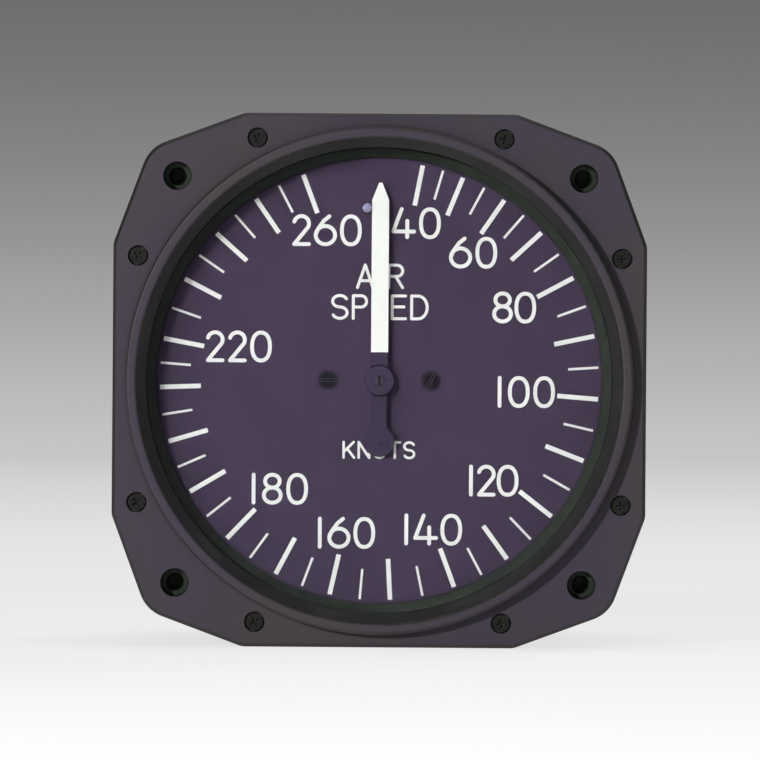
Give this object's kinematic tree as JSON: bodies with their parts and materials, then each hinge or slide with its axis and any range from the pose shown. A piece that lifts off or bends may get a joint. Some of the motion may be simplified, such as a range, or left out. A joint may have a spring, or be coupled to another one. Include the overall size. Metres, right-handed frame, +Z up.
{
  "type": "airspeed indicator",
  "caption": "Panel-mounted airspeed indicator: square flange, raised round bezel, printed dial and pointer driven through a toothed sector and pinion by a pressure capsule.",
  "frame": {"origin": "on the dial's axis in the front face of the square flange, which seats against the back of the panel", "axes": "+X to the right as the pilot sees the dial, +Y along the dial's axis away from the pilot, +Z up through the dial's top; the dial faces -Y"},
  "size_m": [0.0826, 0.0793, 0.0826],
  "materials": {
    "black_enamel": "satin black enamel on cast aluminium, worn grey-violet in the light",
    "blackened_steel": "black oxide on steel",
    "instrument_glass": "clear flat glass",
    "black_rubber": "dull black",
    "flat_black_paint": "flat black",
    "dial_paint": "matte aged black",
    "white_paint": "matte white",
    "polished_steel": "polished",
    "rolled_aluminium": "rolled, brushed",
    "turned_brass": "turned",
    "beryllium_bronze": "pressed thin sheet"
  },
  "bodies": {
    "housing": {"bezel": "black_enamel", "bezel_screws": "blackened_steel", "cover_glass": "instrument_glass", "glass_gasket": "black_rubber", "dial_surround": "flat_black_paint", "case": "black_enamel", "mounting_nuts": "blackened_steel", "pitot_insert": "turned_brass", "static_insert": "turned_brass", "dial_plate": "dial_paint", "dial_screws": "blackened_steel", "stop_pin": "polished_steel", "front_plate": "rolled_aluminium", "rear_plate": "rolled_aluminium", "plate_pillars": "turned_brass", "dial_pillars": "turned_brass", "carrier_posts": "turned_brass", "capsule_carrier": "rolled_aluminium", "front_pillar_screws": "polished_steel", "rear_pillar_screws": "polished_steel", "front_post_screws": "polished_steel", "rear_post_screws": "polished_steel", "bracket_screws": "polished_steel", "case_screws": "blackened_steel", "sealing_washers": "black_rubber", "front_bushes": "turned_brass", "rear_bushes": "turned_brass", "rocking_bracket": "rolled_aluminium", "rocking_bushes": "turned_brass", "capsule_front_half": "beryllium_bronze", "capsule_rear_half": "beryllium_bronze", "capsule_stem": "turned_brass", "capsule_nut": "turned_brass", "pitot_tube": "turned_brass", "hairspring_stud": "turned_brass", "hairspring": "beryllium_bronze"},
    "pointer_shaft": {"handstaff": "polished_steel", "pointer": "white_paint", "pointer_hub": "blackened_steel", "pointer_weight": "turned_brass", "pinion": "polished_steel", "hairspring_collet": "turned_brass"},
    "sector": {"sector_arbor": "polished_steel", "sector_gear": "turned_brass", "sector_lever": "turned_brass"},
    "rocking_shaft_unit": {"rocking_shaft": "polished_steel", "finger_arm": "polished_steel", "capsule_arm": "polished_steel"},
    "capsule_centre": {"capsule_post": "turned_brass"}
  },
  "joints": [
    {"name": "capsule_rise", "type": "slide", "parent": "housing", "child": "capsule_centre", "axis": [0, -1, 0], "range_m": [0, 0.00223], "deforming": ["capsule_front_half", "capsule_rear_half"]},
    {"name": "rocking_shaft_turn", "type": "hinge", "parent": "housing", "child": "rocking_shaft_unit", "pos_m": [0, 0.0403, 0.006], "axis": [-1, 0, 0], "range_deg": [0, 21.27]},
    {"name": "sector_swing", "type": "hinge", "parent": "housing", "child": "sector", "pos_m": [-0.01818, 0.013, 0.00784], "axis": [0, 1, 0], "range_deg": [-35, 0]},
    {"name": "pointer_turn", "type": "hinge", "parent": "housing", "child": "pointer_shaft", "pos_m": [0, 0.013, 0], "axis": [0, 1, 0], "range_deg": [0, 350], "stiffness_Nm_per_rad": 0.00002, "deforming": ["hairspring"]}
  ],
  "couplings": [
    {"joint": "rocking_shaft_turn", "follows": "capsule_rise", "rad_per_m": 166.67},
    {"joint": "sector_swing", "follows": "capsule_rise", "rad_per_m": -274.21},
    {"joint": "pointer_turn", "follows": "capsule_rise", "rad_per_m": 2742.1}
  ]
}
